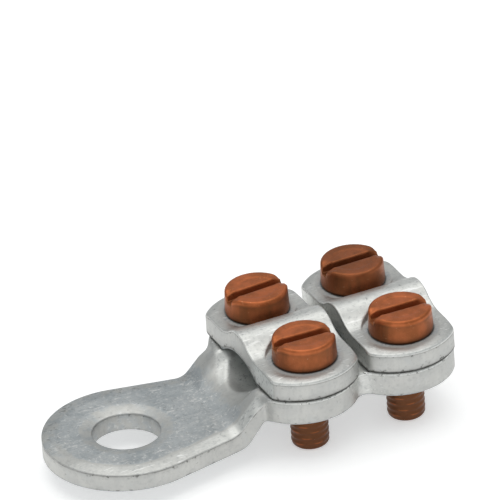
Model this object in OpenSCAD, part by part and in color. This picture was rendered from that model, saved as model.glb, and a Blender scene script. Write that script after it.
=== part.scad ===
// Clamp cable lug: a forged palm and trough, two saddles and four slotted cheese-head screws.
// Origin: stud hole axis at the palm's contact face. +X runs from the palm to the cable, +Z up.
// Lengths are in millimetres and angles in degrees.

/* [Palm] */
// Diameter of the stud hole
stud_hole_d = 10.5; // [6:0.1:14]
// Width of the round palm
palm_w = 26; // [22:0.5:32]
// Thickness of the palm
palm_t = 3.4; // [2.5:0.1:5]
// Distance from the stud hole to the foot of the neck
palm_reach = 14.2; // [13.5:0.1:24]

/* [Neck] */
// Width of the neck at its foot
neck_w = 20.2; // [16:0.1:23]
// Width of the neck where it meets the front ears
neck_end_w = 19.2; // [15:0.1:22]
// Angle at which the neck climbs from the palm
neck_angle = 45; // [35:1:60]
// Wall of the neck, square to its slope
neck_wall = 2.8; // [2:0.1:4]
// Bend radius where the palm turns up into the neck
foot_bend_r = 3.2; // [1:0.1:4]
// Bend radius where the neck levels out into the bed
shoulder_bend_r = 1.6; // [0.5:0.1:3]
// Fillet in the plan corner between the neck and the front ears
neck_fillet_r = 0.5; // [0.2:0.1:2]

/* [Clamp bed] */
// Height of the bed's underside above the palm's contact face
bed_rise = 4.1; // [2.5:0.1:7]
// Thickness of the bed at its screw holes
bed_t = 3.9; // [3:0.1:6]
// Flat length of the bed in front of and behind the saddles
bed_land = 0.6; // [0.3:0.1:3]
// Radius of the bed's rounded ears
ear_r = 8.9; // [8:0.1:11]
// Distance from an ear's screw in to the centre of the ear's arc
ear_inset = 2.4; // [1:0.1:4]
// Fillet in the waist between neighbouring ears
waist_r = 1.8; // [0.6:0.1:4]

/* [Clamps] */
// Distance between the two clamps along the cable
clamp_pitch = 16.3; // [14:0.1:20]
// Distance between the two screws of one clamp
screw_span = 16.8; // [15.5:0.1:22]
// Gap between the bed and a saddle that is screwed down on no cable
clamp_gap = 0.2; // [0.1:0.05:2]

/* [Cable channel] */
// Width of the channel where the bed and the saddles meet
channel_w = 12; // [8:0.1:12.6]
// Depth of the trough in the bed
trough_depth = 3; // [1.5:0.1:4]
// Wall of the trough under the cable
trough_wall = 3.1; // [2:0.1:4]
// Radius of the scoop that leads from the palm into the trough
scoop_r = 12; // [8:0.5:20]
// Distance from the neck's foot to the trough's mouth
scoop_run = 3.3; // [2:0.1:5]
// Height of the arch under a saddle
arch_depth = 2; // [1:0.1:3]

/* [Saddles] */
// Gap between the two saddles along the cable
saddle_gap = 1.6; // [0.6:0.1:3]
// Thickness of a saddle at its screw seats
saddle_t = 3.8; // [3:0.1:6]
// Distance by which a saddle's ears stand out past the bed's ears
saddle_overhang = 0.5; // [0:0.1:1.5]
// Height of the ridge above the screw seats
ridge_h = 2.2; // [1:0.1:3.5]
// Width of the ridge at its foot
ridge_w = 13.2; // [11:0.1:16]
// Radius of the ridge's crest
ridge_r = 4.6; // [3:0.1:5]

/* [Screws] */
// Thread diameter
thread_d = 6; // [5:0.1:7]
// Length of a screw under its head
screw_len = 15; // [14:0.5:25]
// Length of the chamfer on a screw's end
tip_chamfer = 0.9; // [0.3:0.1:1.5]
// Diameter of a head at its seat
head_d = 10; // [9:0.1:12]
// Height of a head
head_h = 3.9; // [3:0.1:5]
// Draft of a head's side
head_draft = 5; // [0:0.5:8]
// Radius of a head's top edge
head_edge_r = 0.6; // [0.2:0.1:1]
// Width of a head's slot
slot_w = 1.6; // [1:0.1:2]
// Depth of a head's slot
slot_depth = 1.7; // [1:0.1:2.5]
// Angle of the slots to the cable, front left, front right, rear left and rear right
slot_angles = [4, -2, 1, -1]; // [-90:1:90]

/* [Edges and fits] */
// Width of the rolled edge round the palm, the neck, the stud hole and the saddles' ears
roll_w = 2.4; // [1:0.1:3]
// Drop of the rolled edge
roll_h = 0.5; // [0.2:0.05:0.8]
// Radial clearance of a screw's thread in the bed
thread_fit = 0.05; // [0.02:0.01:0.1]
// Radial clearance of a screw's thread in its saddle
saddle_hole_fit = 0.3; // [0.1:0.05:0.6]
// Radial clearance of a head in its spot face
spot_face_fit = 1; // [0.3:0.1:1.5]

/* [Hidden] */
$fn = 96;
over = 1;

palm_r = palm_w / 2;
neck_y = neck_w / 2;
bed_top = bed_rise + bed_t;
ear_y = screw_span / 2 - ear_inset;
thread_r = thread_d / 2;

// Side view of the neck: its foot and shoulder on the top and on the underside
foot_top = [palm_reach, palm_t];
shoulder_top = [palm_reach + (bed_top - palm_t) / tan(neck_angle), bed_top];
foot_under = [palm_reach + neck_wall / sin(neck_angle) - palm_t / tan(neck_angle), 0];
shoulder_under = [foot_under[0] + bed_rise / tan(neck_angle), bed_rise];

// Points of the bends round a foot and a shoulder of the neck
bend_steps = 8;
bend_turns = [for (i = [0 : bend_steps]) neck_angle * i / bend_steps];
function foot_bend(p) =
    [for (a = bend_turns) p + foot_bend_r * [sin(a) - tan(neck_angle / 2), 1 - cos(a)]];
function shoulder_bend(p) =
    [for (a = bend_turns) p + shoulder_bend_r * [tan(neck_angle / 2) - sin(neck_angle - a),
                                                 cos(neck_angle - a) - 1]];

// Places along the cable
saddle_len = clamp_pitch - saddle_gap;
front_x = shoulder_top[0] + bed_land + saddle_len / 2;
rear_x = front_x + clamp_pitch;
bed_end = rear_x + saddle_len / 2 + bed_land;

// Plan of the palm: the neck's corner, and the point where a flank leaves the palm's arc
neck_corner = [palm_reach, neck_y];
flank_angle = atan2(neck_y, palm_reach) + acos(palm_r / norm(neck_corner));
flank_start = palm_r * [cos(flank_angle), sin(flank_angle)];
flank_len = norm(neck_corner - flank_start);

// Plan of the neck: the point where it meets the front ear, its direction and the way out of its side
neck_end = [front_x - sqrt(pow(ear_r, 2) - pow(neck_end_w / 2 - ear_y, 2)), neck_end_w / 2];
neck_dir = (neck_end - neck_corner) / norm(neck_end - neck_corner);
neck_out = [-neck_dir[1], neck_dir[0]];

// Radius of an arc from its chord and its rise
function arc_r(chord, rise) = (chord * chord / 4 + rise * rise) / (2 * rise);
trough_r = arc_r(channel_w, trough_depth);
trough_z = bed_top - trough_depth + trough_r;
arch_r = arc_r(channel_w, arch_depth);

// Levels of a saddle and its screws when clamped down
saddle_z = bed_top + clamp_gap;
seat_z = saddle_z + saddle_t;

// Depth by which a fillet's arc bites into its neighbours, so that they cross and don't only touch
fillet_bite = 0.005;

// The rolled edge is an arc that leaves the flat top roll_w inside the rim
roll_lead = roll_w / 5;
roll_drop = (roll_w * roll_w + 2 * roll_w * roll_lead + roll_h * roll_h) / (2 * roll_h);
roll_r = norm([roll_lead, roll_drop]);

// Depth by which the two halves of a mitre overlap, so that no skin is left between them
mitre_lap = roll_h / 20;

// Area between two ears, or an ear and the neck, up to a fillet's arc with its centre at c
module fillet_web(p, q, c, r) {
    difference() {
        polygon([p, q, c]);
        translate(c) circle(r + fillet_bite);
    }
}

// Area cut away beyond a rolled edge: the rim is at x = 0 and the flat top at y = 0
module roll_cut() {
    difference() {
        translate([-roll_w - roll_lead, -2 * roll_h])
            square([roll_w + roll_lead + roll_h, 2 * roll_h + over]);
        translate([-roll_w - roll_lead, -roll_drop]) circle(roll_r);
    }
}

// Side view extruded over the whole width
module across() {
    translate([0, palm_w, 0]) rotate([90, 0, 0]) linear_extrude(2 * palm_w) children();
}

// Plan views, each extruded over the whole height
module upright() {
    for (i = [0 : $children - 1]) linear_extrude(bed_top + over) children(i);
}

// Everything below the palm's, neck's and bed's top faces
module below_top_faces() {
    across() polygon(concat([[bed_end + over, -over], [-palm_r - over, -over], [-palm_r - over, palm_t]],
                            foot_bend(foot_top), shoulder_bend(shoulder_top), [[bed_end + over, bed_top]]));
}

// Everything above the palm's, neck's and bed's undersides
module above_undersides() {
    across() polygon(concat([[bed_end + over, bed_top + over], [-palm_r - over, bed_top + over],
                             [-palm_r - over, 0]],
                            foot_bend(foot_under), shoulder_bend(shoulder_under),
                            [[bed_end + over, bed_rise]]));
}

// Bar along the cable, round the axis of the trough, that starts inside the neck's foot
module along_trough(r) {
    start = (foot_top[0] + foot_under[0] + over) / 2;
    translate([start, 0, trough_z]) rotate([0, 90, 0]) cylinder(r = r, h = bed_end - start + over);
}

// Scoop that rises through the neck from the palm's top to the trough's floor
module neck_scoop() {
    climb = [scoop_run, max(0, trough_z - trough_r - palm_t)];
    intersection() {
        translate([foot_top[0], 0, palm_t]) rotate([0, -atan2(climb[1], climb[0]), 0])
            translate([-foot_bend_r, 0, scoop_r]) rotate([0, 90, 0])
                cylinder(r = scoop_r, h = foot_bend_r + 4 * norm(climb));
        translate([foot_top[0] - foot_bend_r, -palm_w, palm_t]) cube([palm_w, 2 * palm_w, palm_w]);
    }
}

// Plan of one side of the bed, with its fillets
module bed_side() {
    waist = max(waist_r, clamp_pitch / 2 - ear_r + over);
    waist_c = [(front_x + rear_x) / 2, ear_y + sqrt(pow(ear_r + waist, 2) - pow(clamp_pitch / 2, 2))];
    beside = neck_corner + neck_fillet_r * neck_out;
    from_ear = beside - [front_x, ear_y];
    back = from_ear * neck_dir;
    reach = sqrt(back * back - from_ear * from_ear + pow(ear_r + neck_fillet_r, 2));
    neck_c = beside - (back + reach) * neck_dir;
    upright() {
        translate([front_x, ear_y]) circle(ear_r);
        translate([rear_x, ear_y]) circle(ear_r);
        fillet_web([front_x, ear_y], [rear_x, ear_y], waist_c, waist);
        fillet_web(neck_c - neck_fillet_r * neck_out, [front_x, ear_y], neck_c, neck_fillet_r);
    }
}

// Plan of the whole lug: round palm, flanks that close in to the neck, and the bed with its ears
module lug_plan() {
    neck_inner = neck_corner + neck_dir * (front_x - palm_reach) / neck_dir[0];
    upright() {
        circle(palm_r);
        polygon([for (p = [flank_start, neck_corner], side = [1, -1]) [p[0], side * p[1]]],
                [[0, 2, 3, 1]]);
        polygon([for (p = [neck_corner, neck_inner], side = [1, -1]) [p[0], side * p[1]]], [[0, 2, 3, 1]]);
    }
    intersection() {
        union() {
            upright() translate([front_x, -ear_y]) square([bed_end - front_x, 2 * ear_y]);
            bed_side();
            mirror([0, 1, 0]) bed_side();
        }
        upright() translate([palm_reach, -palm_w]) square([bed_end - palm_reach, 2 * palm_w]);
    }
}

// Everything before or behind the mitre in which the rolled edges of the palm and the neck meet
module mitre_half(behind) {
    translate([palm_reach, 0, palm_t]) rotate([0, -neck_angle / 2, 0])
        translate([behind ? -mitre_lap : -2 * palm_w, -palm_w, -palm_w]) cube(2 * palm_w);
}

// Rolled top edge along one of the palm's flanks and up the neck, as far as the ear
module flank_roll() {
    turn = atan2(neck_dir[1], neck_dir[0]);
    pitch = atan(neck_dir[0] * tan(neck_angle));
    rise = norm(neck_end - neck_corner) / cos(pitch);
    intersection() {
        translate([flank_start[0], flank_start[1], palm_t]) rotate([90, 0, flank_angle])
            linear_extrude(flank_len + roll_w) roll_cut();
        mitre_half(false);
    }
    difference() {
        intersection() {
            translate([palm_reach, neck_y, palm_t]) rotate([90 - pitch, 0, 90 + turn])
                translate([0, 0, -roll_w]) linear_extrude(rise + 2 * roll_w) roll_cut();
            mitre_half(true);
        }
        upright() translate([front_x, ear_y]) circle(ear_r);
    }
}

// Rolled top edge of the palm's round end, of its two flanks and of the neck
module palm_roll() {
    translate([0, 0, palm_t]) rotate([0, 0, flank_angle]) rotate_extrude(angle = 360 - 2 * flank_angle)
        translate([palm_r, 0]) roll_cut();
    flank_roll();
    mirror([0, 1, 0]) flank_roll();
}

// Forged lug: palm, neck and trough-shaped bed in one piece
module lug_body() {
    color("silver") difference() {
        intersection() {
            below_top_faces();
            union() {
                above_undersides();
                along_trough(trough_r + trough_wall);
            }
            lug_plan();
        }
        along_trough(trough_r);
        neck_scoop();
        translate([0, 0, -over]) cylinder(d = stud_hole_d, h = palm_t + 2 * over);
        translate([0, 0, palm_t]) rotate_extrude()
            translate([stud_hole_d / 2, 0]) mirror([1, 0]) roll_cut();
        palm_roll();
        for (x = [front_x, rear_x], y = [-1, 1] * screw_span / 2)
            translate([x, y, -over]) cylinder(r = thread_r, h = bed_top + 2 * over);
    }
}

// End view of a saddle: flat ears, a rounded ridge blended into them and an arch under it
module saddle_section() {
    foot = ridge_w / 2;
    sweep = 2 * atan(ridge_h / foot);
    blend_r = foot / sin(sweep) - ridge_r;
    crest_y = ridge_r * sin(sweep);
    crest_z = saddle_t + ridge_h - ridge_r * (1 - cos(sweep));
    half_w = ear_y + ear_r + saddle_overhang + over;
    difference() {
        union() {
            translate([-half_w, 0]) square([2 * half_w, saddle_t]);
            difference() {
                polygon([[-foot, 0], [foot, 0], [foot, saddle_t], [crest_y, crest_z],
                         [-crest_y, crest_z], [-foot, saddle_t]]);
                for (y = [-foot, foot]) translate([y, saddle_t + blend_r]) circle(blend_r);
            }
            intersection() {
                translate([0, saddle_t + ridge_h - ridge_r]) circle(ridge_r);
                translate([-foot, crest_z]) square([2 * foot, ridge_h]);
            }
        }
        translate([0, arch_depth - arch_r]) circle(arch_r);
    }
}

// Saddle in its own place: middle of the underside at the origin
module saddle() {
    rim_r = ear_r + saddle_overhang;
    color("gainsboro") difference() {
        intersection() {
            translate([-saddle_len / 2, 0, 0]) rotate([90, 0, 90])
                linear_extrude(saddle_len) saddle_section();
            linear_extrude(saddle_t + ridge_h + over) {
                translate([-rim_r, -ear_y]) square([2 * rim_r, 2 * ear_y]);
                for (y = [-ear_y, ear_y]) translate([0, y]) circle(rim_r);
            }
        }
        for (side = [-1, 1]) {
            translate([0, side * screw_span / 2, -over])
                cylinder(r = thread_r + saddle_hole_fit, h = saddle_t + 2 * over);
            translate([0, side * screw_span / 2, saddle_t])
                cylinder(r = head_d / 2 + spot_face_fit, h = ridge_h + over);
            translate([0, side * ear_y, saddle_t]) rotate([0, 0, side * 90 - 80])
                rotate_extrude(angle = 160) translate([rim_r, 0]) roll_cut();
        }
    }
}

module front_saddle() { translate([front_x, 0, saddle_z]) saddle(); }

module rear_saddle() { translate([rear_x, 0, saddle_z]) saddle(); }

// Half section of a screw, with the head's seat at y = 0
module screw_section() {
    shank_r = thread_r - thread_fit;
    edge_z = head_h - head_edge_r;
    edge_x = head_d / 2 - (head_edge_r + sin(head_draft) * edge_z) / cos(head_draft);
    edge_start = [edge_x, edge_z] + head_edge_r * [cos(head_draft), sin(head_draft)];
    polygon([[0, -screw_len], [shank_r - tip_chamfer, -screw_len], [shank_r, tip_chamfer - screw_len],
             [shank_r, 0], [head_d / 2, 0], edge_start, [edge_x, edge_z], [edge_x, head_h], [0, head_h]]);
    translate([edge_x, edge_z]) circle(head_edge_r);
}

// Slotted cheese-head screw on the axis at x, y
module screw(x, y, slot_angle) {
    color("peru") translate([x, y, seat_z]) difference() {
        rotate_extrude() screw_section();
        rotate([0, 0, slot_angle]) translate([-head_d, -slot_w / 2, head_h - slot_depth])
            cube([2 * head_d, slot_w, slot_depth + over]);
    }
}

module front_left_screw() { screw(front_x, screw_span / 2, slot_angles[0]); }

module front_right_screw() { screw(front_x, -screw_span / 2, slot_angles[1]); }

module rear_left_screw() { screw(rear_x, screw_span / 2, slot_angles[2]); }

module rear_right_screw() { screw(rear_x, -screw_span / 2, slot_angles[3]); }

lug_body();
front_saddle();
rear_saddle();
front_left_screw();
front_right_screw();
rear_left_screw();
rear_right_screw();
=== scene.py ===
import math

import bmesh
import bpy
import numpy as np
from mathutils import Matrix, Vector
from mathutils.geometry import delaunay_2d_cdt


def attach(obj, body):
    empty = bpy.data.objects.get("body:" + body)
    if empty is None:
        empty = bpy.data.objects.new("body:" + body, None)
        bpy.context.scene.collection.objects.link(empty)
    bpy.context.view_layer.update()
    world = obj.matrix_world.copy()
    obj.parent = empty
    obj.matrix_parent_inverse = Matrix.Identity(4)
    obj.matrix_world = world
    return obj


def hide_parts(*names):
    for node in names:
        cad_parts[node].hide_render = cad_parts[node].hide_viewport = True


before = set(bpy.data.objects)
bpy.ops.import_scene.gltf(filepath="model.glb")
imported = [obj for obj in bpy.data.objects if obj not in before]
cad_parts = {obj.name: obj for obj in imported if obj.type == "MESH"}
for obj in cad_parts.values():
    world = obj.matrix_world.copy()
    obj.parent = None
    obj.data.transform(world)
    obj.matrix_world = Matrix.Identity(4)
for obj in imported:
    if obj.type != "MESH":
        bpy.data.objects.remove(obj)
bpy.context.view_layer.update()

# Every length below is in millimetres until a mesh is made. Most are the part's own. The neck's end, the
# foot of its underside, the saddles' rolled rims and the draft, edge and slot of the heads are set nearer
# the photograph than in the solids.
MM = 0.001

STUD_R = 5.25
PALM_R = 12.99
PALM_T = 3.4
PALM_REACH = 14.2
NECK_Y = 10.1
NECK_END_Y = 10.0
BED_TOP = 8.0
BED_UNDER = 4.1
BED_X = PALM_REACH + BED_TOP - PALM_T
BED_END = 51.0
FOOT_TOP = (PALM_REACH, PALM_T)
SHOULDER_TOP = (BED_X, BED_TOP)
FOOT_UNDER = (15.3, 0.0)
SHOULDER_UNDER = (18.86, BED_UNDER)
FOOT_BEND_R = 3.2
SHOULDER_BEND_R = 1.6
EAR_R = 8.9
EAR_Y = 6.0
WAIST_R = 1.8
CLAMP_X = {"front": 26.75, "rear": 43.05}
GAP_X = (CLAMP_X["front"] + CLAMP_X["rear"]) / 2
SCREW_Y = 8.4
BED_HOLE_R = 3.02
TROUGH_R = 7.5
TROUGH_Z = 12.5
TROUGH_WALL = 3.1
SCOOP_LIP_X = 17.5
SCOOP_HALF = 6.5
ROLL_W = 2.4
ROLL_H = 0.5
SADDLE_LEN = 14.7
SADDLE_Z = 8.2
SADDLE_T = 3.8
SADDLE_RIM_R = 9.4
SADDLE_ROLL_W = 1.7
RIDGE_H = 2.2
RIDGE_FOOT = 6.6
RIDGE_R = 4.6
ARCH_R = 10.0
ARCH_DEPTH = 2.0
ARCH_HALF = math.sqrt(ARCH_R ** 2 - (ARCH_R - ARCH_DEPTH) ** 2)
SPOT_R = 6.0
SADDLE_HOLE_R = 3.3
SEAT_Z = 12.0
HEAD_SIDES = 128
HEAD_R = 5.0
HEAD_H = 3.9
HEAD_DRAFT = math.tan(math.radians(2.5))
HEAD_EDGE_R = 0.45
SEAT_EDGE = 0.103
DISH_R = 3.5
DISH_DEPTH = 0.06
SLOT_W = 1.6
SLOT_DEPTH = 1.4
SLOT_END_WEAR = 0.4
SHANK_R = 2.95
TIP_R = 0.9
THREAD_DEPTH = 0.11
PITCH = 1.0
SCREW_LEN = 15.0
# Clamp, side of the cable, slot angle and share of dark tarnish
SCREWS = {
    "front_left_screw": ("front", 1, 4, 0.15),
    "front_right_screw": ("front", -1, -2, 0.06),
    "rear_left_screw": ("rear", 1, 1, 0.5),
    "rear_right_screw": ("rear", -1, -1, 0.0),
}
FLOOR_Z = -3.0


# Outlines

def arc(cx, cy, r, start, stop, step=0.35):
    """Points along an arc in degrees, without its last point."""
    n = max(2, math.ceil(abs(math.radians(stop - start)) * r / step))
    a = np.radians(np.linspace(start, stop, n + 1)[:-1])
    return np.stack([cx + r * np.cos(a), cy + r * np.sin(a)], 1)


def line(p, q, step=0.35):
    """Points along a straight line, without its last point."""
    n = max(1, math.ceil(math.dist(p, q) / step))
    t = np.linspace(0, 1, n + 1)[:-1, None]
    return (1 - t) * np.array(p, float) + t * np.array(q, float)


def angle(p, centre):
    return math.degrees(math.atan2(p[1] - centre[1], p[0] - centre[0]))


def soften(loop, passes):
    """Rounds the corners of a closed loop by averaging neighbours."""
    for _ in range(passes):
        loop = 0.5 * loop + 0.25 * (np.roll(loop, 1, 0) + np.roll(loop, -1, 0))
    return loop


def mirrored(half):
    """Closed loop from the half on one side of the cable, whose two ends lie on the axis."""
    other = half[1:][::-1] * [1, -1]
    return np.concatenate([half, np.array([[BED_END, 0.0]]), other])


def lug_outline():
    corner = (PALM_REACH, NECK_Y)
    flank = angle(corner, (0, 0)) + math.degrees(math.acos(PALM_R / math.hypot(*corner)))
    start = (PALM_R * math.cos(math.radians(flank)), PALM_R * math.sin(math.radians(flank)))
    front, rear = (CLAMP_X["front"], EAR_Y), (CLAMP_X["rear"], EAR_Y)
    neck_end = (front[0] - math.sqrt(EAR_R ** 2 - (NECK_END_Y - EAR_Y) ** 2), NECK_END_Y)
    half_pitch = (rear[0] - front[0]) / 2
    waist_c = (front[0] + half_pitch, EAR_Y + math.sqrt((EAR_R + WAIST_R) ** 2 - half_pitch ** 2))
    end_y = EAR_Y + math.sqrt(EAR_R ** 2 - (BED_END - rear[0]) ** 2)
    half = np.concatenate([
        arc(0, 0, PALM_R, 180, flank),
        line(start, corner),
        line(corner, neck_end, 0.2),
        arc(*front, EAR_R, angle(neck_end, front), angle(waist_c, front)),
        arc(*waist_c, WAIST_R, angle(front, waist_c), angle(rear, waist_c), 0.2),
        arc(*rear, EAR_R, angle(waist_c, rear), angle((BED_END, end_y), rear)),
        line((BED_END, end_y), (BED_END, 0)),
    ])
    return soften(mirrored(half), 3)


def saddle_outline():
    half = SADDLE_LEN / 2
    lift = math.degrees(math.acos(half / SADDLE_RIM_R))
    end_y = EAR_Y + SADDLE_RIM_R * math.sin(math.radians(lift))
    loop = np.concatenate([
        line((half, -end_y), (half, end_y)),
        arc(0, EAR_Y, SADDLE_RIM_R, lift, 180 - lift),
        line((-half, end_y), (-half, -end_y)),
        arc(0, -EAR_Y, SADDLE_RIM_R, 180 + lift, 360 - lift),
    ])
    return soften(loop, 3)


# Distances in plan

def loop_distance(points, loop):
    """Distance from each point to a closed loop."""
    a, b = loop, np.roll(loop, -1, 0)
    ab = b - a
    length = np.maximum((ab ** 2).sum(1), 1e-12)
    out = np.empty(len(points))
    for i in range(0, len(points), 2000):
        p = points[i:i + 2000, None, :]
        t = np.clip(((p - a) * ab).sum(2) / length, 0, 1)
        out[i:i + 2000] = np.sqrt((((a + t[..., None] * ab) - p) ** 2).sum(2).min(1))
    return out


def inside_loop(points, loop):
    """Even-odd test of each point against a closed loop."""
    x0, y0 = loop.T
    x1, y1 = np.roll(loop, -1, 0).T
    out = np.empty(len(points), bool)
    for i in range(0, len(points), 2000):
        x, y = points[i:i + 2000, :1], points[i:i + 2000, 1:]
        crosses = (y0 > y) != (y1 > y)
        with np.errstate(divide="ignore", invalid="ignore"):
            at = x0 + (y - y0) * (x1 - x0) / (y1 - y0)
        out[i:i + 2000] = (crosses & (x < at)).sum(1) % 2 == 1
    return out


def smin(a, b, k):
    """Lower of two heights, blended over k."""
    h = np.maximum(k - np.abs(a - b), 0) / k
    return np.minimum(a, b) - h * h * k / 4


def smax(a, b, k):
    return -smin(-a, -b, k)


def smooth(lo, hi, v):
    t = np.clip((v - lo) / (hi - lo), 0, 1)
    return t * t * (3 - 2 * t)


def edge_round(d, r):
    """Drop of a rounded edge at a distance d from the rim."""
    t = np.clip(d, 0, r)
    return r - np.sqrt(np.maximum(r * r - (r - t) ** 2, 0))


def edge_roll(d, width, height, power=1.5):
    """Drop of a rolled edge, which leaves the flat gently."""
    return height * np.clip(1 - d / width, 0, 1) ** power


# Plans and strips of triangles

def stagger(lo, hi, dx, dy):
    """Grid of points between two corners, with every other row moved by half a step."""
    gx, gy = np.meshgrid(np.arange(lo[0], hi[0], dx), np.arange(lo[1], hi[1], dy))
    gx = gx + (np.arange(len(gy)) % 2)[:, None] * dx / 2
    return np.stack([gx.ravel(), gy.ravel()], 1)


def go_round(ids):
    """Edges of a closed loop of point numbers."""
    return list(zip(ids.tolist(), np.roll(ids, -1).tolist()))


def triangulate(pieces, edges):
    """Points and triangles of a plan, and where each point of its pieces went."""
    plan = np.concatenate(pieces)
    out = delaunay_2d_cdt([Vector(p) for p in plan], edges, [], 0, 1e-5)
    where = {old: new for new, olds in enumerate(out[3]) for old in olds}
    return np.array([tuple(v) for v in out[0]]), np.array(out[2]), where


def strips(rows):
    """Triangles between rows of points that go round."""
    faces = []
    for a, b in zip(rows, rows[1:]):
        a2, b2 = np.roll(a, -1), np.roll(b, -1)
        faces += [np.column_stack([a, b, b2]), np.column_stack([a, b2, a2])]
    return faces


# Plates: a top and a bottom height over one plan, with upright walls between them

# Rows of points near a wall's edges: distance from the edge, and share of the dark line painted along the
# edge
EDGE_ROWS = [(0.04, 1), (0.13, 0.5), (0.3, 0.12)]
# Rows between those, as shares of the wall's height
MIDDLE_ROWS = [0.35, 0.65]


def plate_plan(loop, holes, rings, spacing, circles):
    """Points and triangles of a plate's plan, and the point numbers round its rim and each hole."""
    pieces = [loop] + [arc(x, y, r, 0, 360, 0.3) for x, y, r in holes]
    starts = np.cumsum([0] + [len(p) for p in pieces])
    loops = [np.arange(a, b) for a, b in zip(starts, starts[1:])]
    edges = [edge for ids in loops for edge in go_round(ids)]
    span = np.roll(loop, -1, 0) - np.roll(loop, 1, 0)
    area = (loop[:, 0] * np.roll(loop[:, 1], -1) - np.roll(loop[:, 0], -1) * loop[:, 1]).sum()
    inward = np.stack([-span[:, 1], span[:, 0]], 1) * np.sign(area)
    inward /= np.linalg.norm(inward, axis=1)[:, None]

    def clear(points, gap):
        keep = inside_loop(points, loop) & (loop_distance(points, loop) > gap)
        for x, y, r in holes:
            keep &= np.hypot(points[:, 0] - x, points[:, 1] - y) > r + gap
        return points[keep]

    for d in rings:
        pieces.append(clear(loop + d * inward, 0.93 * d))
        for x, y, r in holes:
            pieces.append(clear(arc(x, y, r + d, 0, 360, 0.3 + 0.1 * d), 0.93 * d))
    for x, y, radii in circles:
        for r in radii:
            pieces.append(clear(arc(x, y, r, 0, 360, 0.22), rings[-1] * 0.5))
    grid = stagger(loop.min(0), loop.max(0), spacing, spacing * 0.866)
    grid = clear(grid, rings[-1] + 0.5 * spacing)
    for x, y, radii in circles:
        away = np.hypot(grid[:, 0] - x, grid[:, 1] - y)
        grid = grid[(away < min(radii) - 0.1) | (away > max(radii) + 0.1)]
    flat, tris, where = triangulate(pieces + [grid], edges)
    centre = flat[tris].mean(1)
    keep = inside_loop(centre, loop)
    for hole in pieces[1:1 + len(holes)]:
        keep &= ~inside_loop(centre, hole)
    return flat, tris[keep], [np.array([where[i] for i in ids]) for ids in loops]


def make_plate(loop, holes, rings, spacing, top, bottom, walls, circles=()):
    """Closed mesh of a plate, with marks for painted light with burnish, and for painted shade with
    grime.

    holes are (x, y, r), rings the distances inside a rim that get points, circles further (x, y, radii).
    top gives heights, painted light with burnish, and painted shade with grime, and bottom heights and
    darkness. walls gives how dark their top and bottom edges are, and their painted light with burnish.
    """
    flat, tris, loops = plate_plan(loop, holes, rings, spacing, circles)
    d_rim = loop_distance(flat, loop)
    d_hole = np.full(len(flat), 1e3)
    for x, y, r in holes:
        d_hole = np.minimum(d_hole, np.hypot(flat[:, 0] - x, flat[:, 1] - y) - r)
    d_hole = np.maximum(d_hole, 0)
    z_top, gloss, dark_top = top(flat[:, 0], flat[:, 1], d_rim, d_hole)
    z_low, dark_low = bottom(flat[:, 0], flat[:, 1], d_rim, d_hole)
    m = len(flat)
    verts = [np.column_stack([flat, z_top]), np.column_stack([flat, z_low])]
    gloss = [gloss, np.full(m, 0.3)]
    dark = [dark_top, dark_low]
    faces = [tris, tris[:, ::-1] + m]
    total = 2 * m
    for ids in loops:
        at_top, at_low, wall_light_and_burnish = walls(flat[ids, 0], flat[ids, 1])
        high, low = z_top[ids], z_low[ids]
        levels = [(high - d, part * at_top) for d, part in EDGE_ROWS]
        levels += [((1 - t) * high + t * low, 0 * at_top) for t in MIDDLE_ROWS]
        levels += [(low + d, part * at_low) for d, part in EDGE_ROWS[::-1]]
        rows = [ids]
        for level, shade in levels:
            rows.append(total + np.arange(len(ids)))
            total += len(ids)
            verts.append(np.column_stack([flat[ids], level]))
            gloss.append(wall_light_and_burnish)
            dark.append(shade)
        faces += strips(rows + [ids + m])
    marks = {"gloss": np.concatenate(gloss), "crease": np.concatenate(dark)}
    return np.concatenate(verts), np.concatenate(faces), marks


def make_object(name, verts, faces, marks, material):
    """Blender object from points in millimetres, with its named marks on the points."""
    mesh = bpy.data.meshes.new(name)
    mesh.from_pydata((verts * MM).tolist(), [], faces.tolist())
    for key, values in marks.items():
        mesh.attributes.new(key, "FLOAT", "POINT").data.foreach_set("value", values.astype(np.float32))
    bm = bmesh.new()
    bm.from_mesh(mesh)
    loose = [v for v in bm.verts if not v.link_faces]
    bmesh.ops.delete(bm, geom=loose, context="VERTS")
    bmesh.ops.recalc_face_normals(bm, faces=bm.faces)
    bm.to_mesh(mesh)
    bm.free()
    mesh.shade_smooth()
    mesh.materials.append(material)
    obj = bpy.data.objects.new(name, mesh)
    bpy.context.scene.collection.objects.link(obj)
    return obj


# Lug body

def bend_profile(x, foot, shoulder, foot_r, shoulder_r):
    """Height along the crank: flat, bend, slope, bend, flat."""
    lean = math.atan2(shoulder[1] - foot[1], shoulder[0] - foot[0])
    slope = foot[1] + (x - foot[0]) * math.tan(lean)
    z = np.clip(slope, foot[1], shoulder[1])
    a = x - (foot[0] - foot_r * math.tan(lean / 2))
    low = foot[1] + foot_r - np.sqrt(np.maximum(foot_r ** 2 - a ** 2, 0))
    z = np.where((a > 0) & (a < foot_r * math.sin(lean)), low, z)
    b = (shoulder[0] + shoulder_r * math.tan(lean / 2)) - x
    high = shoulder[1] - shoulder_r + np.sqrt(np.maximum(shoulder_r ** 2 - b ** 2, 0))
    return np.where((b > 0) & (b < shoulder_r * math.sin(lean)), high, z)


def on_palm(x):
    """1 on the palm and the neck, and 0 on the bed."""
    return 1 - smooth(BED_X - 0.5, BED_X + 0.8, x)


def on_bed(x):
    return smooth(BED_X - 0.2, BED_X + 0.8, x)


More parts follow.
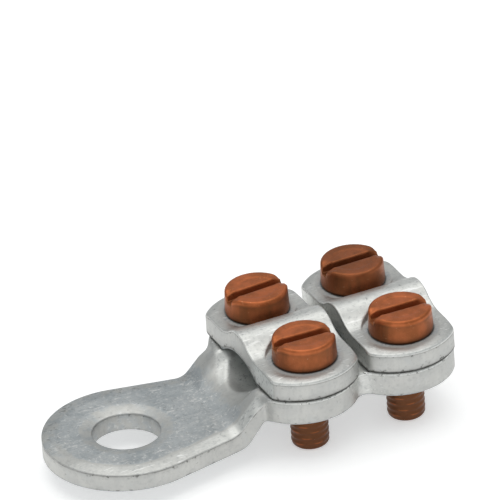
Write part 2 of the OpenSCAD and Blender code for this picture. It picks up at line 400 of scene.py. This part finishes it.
def lug_top(x, y, d_rim, d_hole):
    wing = bend_profile(x, FOOT_TOP, SHOULDER_TOP, FOOT_BEND_R, SHOULDER_BEND_R)
    trough = TROUGH_Z - np.sqrt(np.maximum(TROUGH_R ** 2 - y ** 2, 0))
    trough = np.where(np.abs(y) < TROUGH_R, trough, TROUGH_Z)
    climb = (TROUGH_Z - TROUGH_R - PALM_T) / (SCOOP_LIP_X - PALM_REACH)
    dip = y ** 2 / 60 + 1.8 * (np.abs(y) / SCOOP_HALF) ** 7
    scoop = PALM_T + climb * (x - PALM_REACH) + dip
    cut = smin(trough, smax(scoop, PALM_T + 0 * x, 1.2), 0.18)
    rise = smooth(0.0, 1.6, wing - PALM_T)
    blend = 0.5 + 0.6 * smooth(BED_X + 2.2, BED_X - 1.3, x)
    z = np.maximum(smin(wing, cut, 0.001 + rise * blend), PALM_T)
    near_stud = np.maximum(np.hypot(x, y) - STUD_R, 0)
    shoulder = 0.45 * smooth(BED_X - 2.0, BED_X - 0.2, x) * smooth(2.4, 0.2, d_rim)
    z = z - on_palm(x) * (shoulder + edge_roll(d_rim, ROLL_W + 0.3, ROLL_H))
    z = z - edge_roll(near_stud, ROLL_W, ROLL_H) - edge_round(d_hole, 0.12)
    z = z - edge_round(d_rim, 0.12) - on_bed(x) * edge_round(d_rim, 0.25)
    return z, *lug_finish(x, y, d_rim, wing - z)


def lug_finish(x, y, d_rim, sunk):
    """Painted light with burnish, and darkening, of the lug's top, where sunk is the depth of its scoop
    and trough.
    """
    near_stud = np.hypot(x, y) - STUD_R
    # Painted highlights: the palm's rolled rim brighter on the near side and up the crank, the stud
    # hole's rim brighter on its far side, and the neck.
    painted_light_and_wear = 0.45 + (0.8 + 0.22 * smooth(4.0, 12.0, x)) * smooth(2.0, -7.0, y)
    rim = on_palm(x) * smooth(2.7, 1.9, d_rim) * painted_light_and_wear
    stud_rim = smooth(2.4, 1.7, near_stud) * (0.55 + 0.2 * smooth(-4.0, 2.0, y))
    neck = 0.85 * smooth(PALM_REACH + 0.3, PALM_REACH + 2.8, x)
    # Painted light lifting the scoop's far side, the waist between the saddles and the trough, which lie
    # in shade.
    scoop_side = smooth(PALM_REACH + 0.9, PALM_REACH + 2.1, x - 0.375 * y)
    scoop_side = scoop_side * smooth(BED_X + 2.2, BED_X + 0.7, x) * smooth(0.8, 2.4, y)
    gap = smooth(1.6, 1.0, np.abs(x - GAP_X))
    in_trough = smooth(0.3, 1.2, sunk) * smooth(BED_X - 0.8, BED_X + 1.2, x)
    gloss = np.maximum(np.maximum(rim, stud_rim), neck)
    gloss = gloss + 0.85 * np.maximum(0.75 * scoop_side, np.maximum(gap, in_trough))
    # Painted highlight just inside the bed's top rim.
    gloss = gloss + 0.7 * on_bed(x) * smooth(0.6, 0.2, d_rim)
    # Darker specks over the palm, more towards its far rim, and painted shade along the bed's top rim
    # under the saddles.
    palm_darkening = 0.045 * smooth(1.6, 3.0, near_stud) + 0.03 * smooth(3.5, 2.0, d_rim) * smooth(-2.0, 4.0, y)
    palm_darkening = palm_darkening * smooth(PALM_REACH + 2.8, PALM_REACH - 0.2, x)
    return gloss, np.maximum(palm_darkening, 0.12 * on_bed(x) * smooth(0.45, 0.1, d_rim))


def lug_bottom(x, y, d_rim, d_hole):
    under = bend_profile(x, FOOT_UNDER, SHOULDER_UNDER, FOOT_BEND_R, SHOULDER_BEND_R)
    r = TROUGH_R + TROUGH_WALL
    bulge = TROUGH_Z - np.sqrt(np.maximum(r * r - y ** 2, 0))
    z = np.where(x < PALM_REACH - 2.2, 0.0, smin(under, bulge, 0.9))
    return np.maximum(z, 0) + edge_round(d_rim, 0.15) + edge_round(d_hole, 0.15), np.zeros(len(x))


def lug_walls(x, y):
    # Darker along the walls' top edges, less on the neck and the bed, and faintly at their feet; outer
    # walls paler at the waist between the saddles, a painted highlight.
    outer = np.hypot(x, y) > STUD_R + 1
    neck = smooth(PALM_REACH - 0.2, PALM_REACH + 1.3, x)
    top = 0.84 - 0.6 * neck - 0.14 * smooth(BED_X - 0.8, BED_X + 0.2, x)
    waist = smooth(4.0, 1.0, np.abs(x - GAP_X))
    return np.where(outer, top, 0.6), np.full(len(x), 0.15), np.where(outer, 1.0 + 0.4 * waist, 0.6)


def build_lug(material):
    holes = [(x, side * SCREW_Y, BED_HOLE_R) for x in CLAMP_X.values() for side in (1, -1)]
    holes = [(0, 0, STUD_R)] + holes
    rings = [0.03, 0.08, 0.15, 0.24, 0.36, 0.55, 0.8, 1.1, 1.45, 1.8, 2.2, 2.6]
    plate = make_plate(lug_outline(), holes, rings, 0.42, lug_top, lug_bottom, lug_walls)
    return make_object("lug_body_skin", *plate, material)


# Saddles

def saddle_top(x, y, d_rim, d_hole):
    ay = np.abs(y)
    sweep = 2 * math.atan(RIDGE_H / RIDGE_FOOT)
    blend_r = RIDGE_FOOT / math.sin(sweep) - RIDGE_R
    crest_y = RIDGE_R * math.sin(sweep)
    crest = SADDLE_T + RIDGE_H - RIDGE_R + np.sqrt(np.maximum(RIDGE_R ** 2 - ay ** 2, 0))
    blend = SADDLE_T + blend_r - np.sqrt(np.maximum(blend_r ** 2 - (RIDGE_FOOT - ay) ** 2, 0))
    z = np.where(ay < crest_y, crest, np.where(ay < RIDGE_FOOT, blend, SADDLE_T))
    out = np.hypot(x, ay - SCREW_Y)
    z = SADDLE_T + (z - SADDLE_T) * smooth(SPOT_R - 0.14, SPOT_R + 0.2, out)
    ear = np.where(ay > EAR_Y, SADDLE_RIM_R - np.hypot(x, ay - EAR_Y), 9.0)
    z = z - edge_roll(np.maximum(ear, 0), SADDLE_ROLL_W, ROLL_H, 2.2)
    z = z - edge_round(d_rim, 0.22) - edge_round(d_hole, 0.15)
    # Painted light with burnish: flats, ridge and near side lighter, a thin painted highlight right at
    # the ears' rim with a broad dip behind it, and less inside the spot face as painted shade; a painted
    # contact shadow rings the head.
    near_side = smooth(-1.0, -3.5, y) * (ay < 6.0)
    crown = 1.1 * smooth(6.8, 5.0, ay) + 0.35 * np.maximum(smooth(3.0, 1.0, ay), near_side)
    rim = 0.45 * smooth(0.45, 0.15, ear) - 0.1 * smooth(1.2, 0.3, ear)
    gloss = np.maximum(1.2 + rim, crown) - 0.7 * smooth(SPOT_R, SPOT_R - 0.4, out)
    dark = 0.85 * smooth(HEAD_R + 0.2, HEAD_R, out)
    return z, gloss, dark


def saddle_bottom(x, y, d_rim, d_hole):
    arch = ARCH_DEPTH - ARCH_R + np.sqrt(np.maximum(ARCH_R ** 2 - y ** 2, 0))
    z = smax(arch, 0 * x, 0.3) * (np.abs(y) < ARCH_HALF + 1.5)
    z = z + edge_round(d_rim, 0.36) + edge_round(d_hole, 0.15)
    # Painted shade along the underside's rim beyond the arch, where it sits over the bed.
    return z, smooth(0.6, 0.2, d_rim) * (np.abs(y) > ARCH_HALF + 0.5)


def saddle_walls(x, y, inner):
    """inner is the end that faces the other saddle, 1 or -1."""
    # Painted shade along the walls' feet, less on the end facing the other saddle, and a fainter dark
    # line along their tops; painted light makes that facing end paler, and the front saddle's outer end
    # towards the near side.
    facing = smooth(SADDLE_LEN / 2 - 0.3, SADDLE_LEN / 2 - 0.05, inner * x)
    painted_light_and_wear = (inner > 0) * smooth(0.3 - SADDLE_LEN / 2, 0.05 - SADDLE_LEN / 2, x) * smooth(-3, -8, y)
    return np.full(len(x), 0.5), 1.0 - 0.7 * facing, 1.0 + 0.6 * facing + painted_light_and_wear


def build_saddles(material):
    holes = [(0, side * SCREW_Y, SADDLE_HOLE_R) for side in (1, -1)]
    rings = [0.04, 0.1, 0.18, 0.28, 0.42, 0.65, 0.95, 1.3, 1.7, 2.1, 2.5]
    spot = [HEAD_R + s for s in (0.0, 0.1, 0.2, 0.35)]
    spot += [SPOT_R + s for s in (-0.3, -0.16, -0.08, 0.0, 0.08, 0.16, 0.24, 0.45)]
    circles = [(0, side * SCREW_Y, spot) for side in (1, -1)]
    made = {}
    for end, inner in (("front", 1), ("rear", -1)):
        verts, faces, marks = make_plate(
            saddle_outline(), holes, rings, 0.36, saddle_top, saddle_bottom,
            lambda x, y: saddle_walls(x, y, inner), circles)
        out = np.hypot(verts[:, 0], np.abs(verts[:, 1]) - SCREW_Y)
        marks["dull"] = smooth(SPOT_R, SPOT_R - 0.6, out)
        verts = verts + [CLAMP_X[end], 0, SADDLE_Z]
        made[end] = make_object(end + "_saddle_skin", verts, faces, marks, material)
    return made


# Screws

def head_top():
    """Points and triangles of a slotted head's top, their share of slot, and its rim's point numbers."""
    half = SLOT_W / 2
    reach = HEAD_R - 0.015
    rim = arc(0, 0, HEAD_R, 0, 360, 2 * math.pi * HEAD_R / HEAD_SIDES)
    radii = [HEAD_R - d for d in (0.03, 0.08, 0.15, 0.24, 0.34, 0.45, 0.58, 0.75, 1.0)]
    radii += [DISH_R - d for d in (0.0, 0.15, 0.3, 0.45)]
    pieces = [rim] + [arc(0, 0, r, 0, 360, 0.24) for r in radii]
    for v in [0.0, 0.45] + [half + s for s in (-0.13, -0.06, -0.02, 0.02, 0.06, 0.13, 0.25)]:
        for s in ((1, -1) if v else (1,)):
            row = line((-reach, s * v), (reach, s * v), 0.16)
            pieces.append(row[np.hypot(*row.T) < reach])
    grid = stagger((-4, -4), (4, 4), 0.4, 0.35)
    pieces.append(grid[(np.hypot(*grid.T) < DISH_R - 0.6) & (np.abs(grid[:, 1]) > half + 0.4)])
    flat, tris, where = triangulate(pieces, go_round(np.arange(len(rim))))
    away, off = np.hypot(*flat.T), np.abs(flat[:, 1])
    at_end = smooth(half + 1.3, half + 0.1, off) * smooth(HEAD_R - 1.5, HEAD_R - 0.1, away)
    z = HEAD_H - edge_round(HEAD_R - away, HEAD_EDGE_R) - 0.04 * smooth(half + 0.3, half, off)
    z = z - DISH_DEPTH * smooth(DISH_R, DISH_R - 0.5, away) - SLOT_END_WEAR * at_end
    slot = smooth(half + 0.05, half - 0.05, off)
    z = z + (HEAD_H - SLOT_DEPTH - z) * slot
    return np.column_stack([flat, z]), tris, slot, np.array([where[i] for i in range(len(rim))])


def thread_row(level, a):
    """Radius of the threaded shank at a level, for each angle, and its darkness: dark tarnish with
    painted shade, and lighter broken lines on the crests that are wear and painted highlights.
    """
    phase = (level / PITCH - a / (2 * math.pi)) % 1.0
    ramp = np.clip(2.5 * (0.5 - np.abs(phase - 0.5)) - 0.13, 0, 1)
    ramp = 0.5 * ramp * ramp * (3 - 2 * ramp) + 0.5 * ramp
    ramp = ramp * smooth(-0.5, -1.3, level)
    radius = SHANK_R - THREAD_DEPTH + THREAD_DEPTH * ramp
    tip = SCREW_LEN - TIP_R + level
    if tip < 0:
        radius = np.minimum(radius, SHANK_R - TIP_R + math.sqrt(max(TIP_R ** 2 - tip * tip, 0)))
    broken = smooth(-0.2, 0.6, np.sin(5 * a + 3.7 * level) * np.sin(2 * a - 6.1 * level))
    return radius, 0.85 - 0.4 * broken * smooth(0.85, 1.0, ramp)


def screw_mesh(turn):
    """Slotted head and threaded shank, with the seat at z = 0 and the slot along x before the turn."""
    top, tris, slot, rim = head_top()
    a = np.arctan2(top[rim, 1], top[rim, 0])
    verts, tarnish_and_shade, rows = [top], [np.zeros(len(top))], [rim]

    def add_row(radius, level, dark):
        rows.append(sum(len(v) for v in verts) + np.arange(len(a)))
        verts.append(np.column_stack([np.cos(a) * radius, np.sin(a) * radius, level + 0 * a]))
        tarnish_and_shade.append(dark + 0 * a)

    # Down the head's side: painted shade in a band just under the top edge, deepening towards the seat,
    # and under the head.
    down = np.arange(1, 9) / 8
    for t in down:
        radius = HEAD_R - SEAT_EDGE if t == down[-1] else HEAD_R
        add_row(radius, (1 - t) * top[rim, 2], 0.55 if t == down[0] else 0.44 + 0.45 * t ** 8)
    add_row(SHANK_R + 0.35, 0.0, 0.5)
    add_row(SHANK_R - 0.05, -0.05, 0.5)
    for level in np.arange(-0.2, -SCREW_LEN + TIP_R, -0.1):
        radius, dark = thread_row(level, a)
        add_row(radius, level, dark)
    for level in -SCREW_LEN + TIP_R * (1 - np.sin(np.linspace(0.1, math.pi / 2, 8))):
        radius, dark = thread_row(level, a)
        add_row(radius, level, dark)
    for radius in (1.4, 0.7):
        add_row(radius, -SCREW_LEN, 0.3)
    end = sum(len(v) for v in verts)
    fan = np.column_stack([rows[-1], np.full(len(a), end), np.roll(rows[-1], -1)])
    faces = np.concatenate([tris] + strips(rows) + [fan])
    verts = np.concatenate(verts + [np.array([[0, 0, -SCREW_LEN]])])
    head = verts[:, 2] > -0.01
    verts[head, :2] *= (1 - HEAD_DRAFT * verts[head, 2] / HEAD_R)[:, None]
    c, s = math.cos(math.radians(turn)), math.sin(math.radians(turn))
    verts[:, :2] = verts[:, :2] @ np.array([[c, s], [-s, c]])
    in_slot = np.concatenate([slot, np.zeros(len(verts) - len(slot))])
    return verts, faces, {"slot": in_slot, "tarnish_and_shade": np.concatenate(tarnish_and_shade + [[0.3]])}


def build_screws(material):
    made = {}
    for name, (end, side, turn, tarnish_and_shade) in SCREWS.items():
        verts, faces, marks = screw_mesh(turn)
        marks["side"] = (marks["tarnish_and_shade"] > 0).astype(float)
        marks["tarnish_and_shade"] = np.maximum(marks["tarnish_and_shade"], tarnish_and_shade)
        verts = verts + [CLAMP_X[end], side * SCREW_Y, SEAT_Z]
        made[name] = make_object(name + "_skin", verts, faces, marks, material)
    return made


# Materials

class Nodes:
    """Short calls for a material's nodes and links."""

    def __init__(self, name):
        self.material = bpy.data.materials.new(name)
        self.material.use_nodes = True
        self.tree = self.material.node_tree
        self.shader = self.tree.nodes["Principled BSDF"]
        self.place = self.add("ShaderNodeTexCoord").outputs["Object"]

    def add(self, kind, **props):
        node = self.tree.nodes.new(kind)
        for key, value in props.items():
            setattr(node, key, value)
        return node

    def link(self, source, target):
        self.tree.links.new(source, target)

    def put(self, socket, value):
        if hasattr(value, "is_output"):
            self.link(value, socket)
        else:
            socket.default_value = value

    def noise(self, size, detail=3.0, rough=0.55, stretch=None):
        """Noise whose features are about size millimetres wide."""
        node = self.add("ShaderNodeTexNoise")
        node.inputs["Scale"].default_value = 1 / (size * MM)
        node.inputs["Detail"].default_value = detail
        node.inputs["Roughness"].default_value = rough
        place = self.place
        if stretch:
            mapping = self.add("ShaderNodeMapping")
            self.link(place, mapping.inputs["Vector"])
            mapping.inputs["Scale"].default_value = stretch
            place = mapping.outputs["Vector"]
        self.link(place, node.inputs["Vector"])
        return node.outputs["Fac"]

    def ramp(self, value, lo, hi, to_lo=0.0, to_hi=1.0):
        node = self.add("ShaderNodeMapRange", interpolation_type="SMOOTHSTEP")
        self.put(node.inputs["Value"], value)
        for key, v in (("From Min", lo), ("From Max", hi), ("To Min", to_lo), ("To Max", to_hi)):
            node.inputs[key].default_value = v
        return node.outputs["Result"]

    def math(self, kind, a, b=0.0):
        node = self.add("ShaderNodeMath", operation=kind)
        self.put(node.inputs[0], a)
        self.put(node.inputs[1], b)
        return node.outputs["Value"]

    def mix(self, factor, a, b):
        node = self.add("ShaderNodeMix", data_type="RGBA")
        self.put(node.inputs["Factor"], factor)
        for key, v in (("A", a), ("B", b)):
            socket = next(s for s in node.inputs if s.name == key and s.type == "RGBA")
            self.put(socket, v if hasattr(v, "is_output") else (*v, 1))
        return next(s for s in node.outputs if s.type == "RGBA")

    def mark(self, name):
        return self.add("ShaderNodeAttribute", attribute_name=name).outputs["Fac"]

    def bump(self, height, strength, distance):
        node = self.add("ShaderNodeBump")
        self.put(node.inputs["Height"], height)
        node.inputs["Strength"].default_value = strength
        node.inputs["Distance"].default_value = distance * MM
        return node.outputs["Normal"]


def tin_material():
    """Tinned forging: matte, mottled and painted darker on the flats, burnished and painted lighter on
    rims and sheared sides, paler where painted light lifts shade, and a painted shade line along edges
    and gaps.
    """
    m = Nodes("tin_skin")
    gloss, crease = m.mark("gloss"), m.mark("crease")
    broad = m.noise(5.0, 4.0)
    grain = m.noise(0.45, 4.0, 0.65)
    specks = m.noise(0.6, 2.0)
    dents = m.noise(2.6, 2.0)
    shear = m.noise(0.5, 2.0, 0.5, (1.0, 1.0, 0.12))
    patches = m.ramp(m.noise(4.0, 2.0), 0.38, 0.6, 0.4, 1.0)
    matte_and_shaded = m.mix(m.ramp(broad, 0.35, 0.65), (0.40, 0.43, 0.445), (0.50, 0.525, 0.535))
    fine = m.math("MULTIPLY", patches, m.ramp(grain, 0.45, 0.65, 0.0, 0.8))
    matte_and_shaded = m.mix(fine, matte_and_shaded, (0.60, 0.61, 0.605))
    fine = m.math("MULTIPLY", patches, m.ramp(specks, 0.58, 0.68, 0.0, 0.8))
    matte_and_shaded = m.mix(fine, matte_and_shaded, (0.75, 0.75, 0.74))
    scratches = m.ramp(m.noise(0.3, 2.0, 0.5, (0.12, 1.0, 1.0)), 0.6, 0.68, 0.0, 0.8)
    matte_and_shaded = m.mix(m.math("MULTIPLY", patches, scratches), matte_and_shaded, (0.72, 0.72, 0.71))
    matte_and_shaded = m.mix(m.ramp(m.noise(0.4, 2.0), 0.62, 0.72, 0.0, 0.6), matte_and_shaded, (0.27, 0.28, 0.28))
    burnished_and_lit = m.mix(m.ramp(broad, 0.3, 0.7), (0.51, 0.512, 0.496), (0.58, 0.578, 0.555))
    burnished_and_lit = m.mix(m.ramp(shear, 0.4, 0.7, 0.0, 0.2), burnished_and_lit, (0.45, 0.45, 0.44))
    burnished_and_lit = m.mix(m.ramp(m.noise(0.9, 4.0, 0.6), 0.5, 0.7, 0.0, 0.35), burnished_and_lit, (0.40, 0.41, 0.405))
    painted_light_and_wear = m.math("ADD", gloss, m.ramp(m.noise(1.8, 3.0), 0.3, 0.7, -0.35, 0.35))
    # The mark blends the darker matte tone into the lighter burnished one: burnish and painted light.
    colour = m.mix(m.ramp(painted_light_and_wear, 0.1, 0.9), matte_and_shaded, burnished_and_lit)
    # Paler still where the mark passes 1: painted light in shaded hollows and gaps.
    colour = m.mix(m.ramp(gloss, 1.0, 2.0), colour, (0.90, 0.91, 0.88))
    handled = m.ramp(gloss, 1.05, 1.2)
    smudges = m.ramp(m.noise(0.55, 4.0, 0.65), 0.5, 0.66, 0.0, 0.55)
    colour = m.mix(m.math("MULTIPLY", handled, smudges), colour, (0.45, 0.46, 0.455))
    fine = m.math("MULTIPLY", handled, m.math("MULTIPLY", patches, scratches))
    colour = m.mix(fine, colour, (0.86, 0.86, 0.85))
    pits = m.noise(0.55, 2.0)
    colour = m.mix(m.ramp(pits, 0.68, 0.76, 0.0, 0.5), colour, (0.22, 0.22, 0.21))
    # A near-black painted shade line along edges and gaps, broken by noise, with dark specks near it.
    shade_line = m.math("MULTIPLY", crease, m.ramp(m.noise(1.4), 0.3, 0.55, 0.6, 1.0))
    shade_line = m.math("MAXIMUM", shade_line, m.ramp(crease, 0.85, 1.0, 0.0, 0.9))
    dirt_and_shade_specks = m.ramp(m.noise(0.7, 4.0, 0.6), 0.56, 0.64)
    dirt_and_shade_specks = m.math("MULTIPLY", dirt_and_shade_specks, m.ramp(crease, 0.02, 0.12, 0.0, 0.75))
    shade_line = m.math("MAXIMUM", shade_line, dirt_and_shade_specks)
    colour = m.mix(shade_line, colour, (0.055, 0.055, 0.05))
    m.link(colour, m.shader.inputs["Base Color"])
    dull = m.mark("dull")
    m.link(m.ramp(dull, 0.0, 1.0, 0.88, 0.35), m.shader.inputs["Metallic"])
    rough = m.math("SUBTRACT", m.ramp(grain, 0.3, 0.7, 0.45, 0.56), m.math("MULTIPLY", gloss, 0.04))
    m.link(m.math("ADD", rough, m.math("MULTIPLY", dull, 0.25)), m.shader.inputs["Roughness"])
    height = m.math("MULTIPLY", grain, m.math("SUBTRACT", 1.0, m.math("MULTIPLY", gloss, 0.7)))
    height = m.math("ADD", height, m.math("MULTIPLY", dents, 2.2))
    m.link(m.bump(height, 0.5, 0.07), m.shader.inputs["Normal"])
    return m.material


def bronze_material():
    """Copper-brown screws: satin, a little mottled, darker in the slot and the thread, with painted shade
    down the heads' sides and dark streaks that are wear and painted reflections.
    """
    m = Nodes("bronze_skin")
    slot = m.mark("slot")
    broad = m.noise(2.5, 3.0)
    grain = m.noise(0.35, 3.0, 0.6)
    streak = m.noise(1.6, 3.0, 0.5, (1.0, 1.0, 0.12))
    colour = m.mix(m.ramp(broad, 0.35, 0.65), (0.39, 0.112, 0.034), (0.55, 0.155, 0.053))
    colour = m.mix(m.ramp(grain, 0.55, 0.75, 0.0, 0.5), colour, (0.61, 0.20, 0.078))
    # Darker vertical streaks, mostly on the sides: wear, and painted dark reflections.
    painted_light_and_wear = m.ramp(streak, 0.48, 0.66, 0.0, 0.55)
    painted_light_and_wear = m.math("MULTIPLY", painted_light_and_wear, m.ramp(m.mark("side"), 0.0, 1.0, 0.25, 1.0))
    colour = m.mix(painted_light_and_wear, colour, (0.24, 0.090, 0.030))
    nicks = m.ramp(m.noise(0.4, 3.0, 0.6), 0.66, 0.74, 0.0, 0.6)
    colour = m.mix(nicks, colour, (0.80, 0.42, 0.24))
    colour = m.mix(slot, colour, (0.31, 0.117, 0.045))
    # Dark tarnish, and painted shade down the heads' sides.
    colour = m.mix(m.ramp(m.mark("tarnish_and_shade"), 0.0, 1.0), colour, (0.13, 0.052, 0.022))
    m.link(colour, m.shader.inputs["Base Color"])
    m.shader.inputs["Metallic"].default_value = 0.8
    m.link(m.ramp(grain, 0.3, 0.7, 0.36, 0.52), m.shader.inputs["Roughness"])
    m.link(m.bump(grain, 0.25, 0.04), m.shader.inputs["Normal"])
    return m.material


# Stage, light and camera

def build_stage():
    floor = bpy.data.meshes.new("floor")
    size = 4.0
    corners = [(-size, -size), (size, -size), (size, size), (-size, size)]
    floor.from_pydata([(x, y, FLOOR_Z * MM) for x, y in corners], [], [(0, 1, 2, 3)])
    obj = bpy.data.objects.new("floor", floor)
    bpy.context.scene.collection.objects.link(obj)
    m = Nodes("floor_white")
    m.shader.inputs["Base Color"].default_value = (0.86, 0.86, 0.86, 1)
    m.shader.inputs["Roughness"].default_value = 1.0
    m.shader.inputs["Specular IOR Level"].default_value = 0.0
    m.shader.inputs["Emission Color"].default_value = (1, 1, 1, 1)
    path = m.add("ShaderNodeLightPath").outputs
    seen = m.math("MAXIMUM", path["Is Camera Ray"], path["Is Glossy Ray"])
    seen = m.math("MAXIMUM", seen, path["Is Transmission Ray"])
    m.link(m.math("MULTIPLY", seen, 0.43), m.shader.inputs["Emission Strength"])
    floor.materials.append(m.material)


def add_lamp(name, place, target, size, watts, colour):
    lamp = bpy.data.lights.new(name, "AREA")
    lamp.shape = "DISK"
    lamp.size = size
    lamp.energy = watts
    lamp.color = colour
    obj = bpy.data.objects.new(name, lamp)
    obj.location = place
    obj.rotation_mode = "QUATERNION"
    obj.rotation_quaternion = (Vector(target) - Vector(place)).to_track_quat("-Z", "Y")
    bpy.context.scene.collection.objects.link(obj)


def build_light():
    world = bpy.data.worlds.new("studio")
    bpy.context.scene.world = world
    world.use_nodes = True
    world.node_tree.nodes["Background"].inputs["Color"].default_value = (0.95, 0.985, 1.0, 1)
    world.node_tree.nodes["Background"].inputs["Strength"].default_value = 0.49
    target = (0.02, 0, 0.005)
    add_lamp("top_soft", (0.06, 0.10, 0.75), target, 1.0, 2.85, (1.0, 0.99, 0.965))
    add_lamp("front_soft", (-0.35, -0.75, 0.45), target, 0.6, 0.62, (1.0, 0.99, 0.97))


def build_camera():
    """The photograph's own view, fitted to the screw heads and the stud hole."""
    right = Vector((0.90132, -0.42882, -0.06177)).normalized()
    back = Vector((-0.3432, -0.7937, 0.5022))
    back = (back - right * back.dot(right)).normalized()
    up = back.cross(right)
    data = bpy.data.cameras.new("camera")
    data.sensor_width = 36.0
    data.lens = 999.3
    data.clip_start, data.clip_end = 0.01, 50.0
    obj = bpy.data.objects.new("camera", data)
    obj.matrix_world = Matrix.Translation(Vector((-700.6, -1672.5, 1086.2)) * MM) @ Matrix(
        (right, up, back)).transposed().to_4x4()
    bpy.context.scene.collection.objects.link(obj)
    bpy.context.scene.camera = obj


tin = tin_material()
bronze = bronze_material()
lug = build_lug(tin)
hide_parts("lug_body")
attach(lug, "lug")
for end, saddle in build_saddles(tin).items():
    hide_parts(end + "_saddle")
    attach(saddle, end + "_clamp")
for name, screw in build_screws(bronze).items():
    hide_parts(name)
    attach(screw, name)
build_stage()
build_light()
build_camera()
bpy.context.scene.view_settings.view_transform = "Standard"
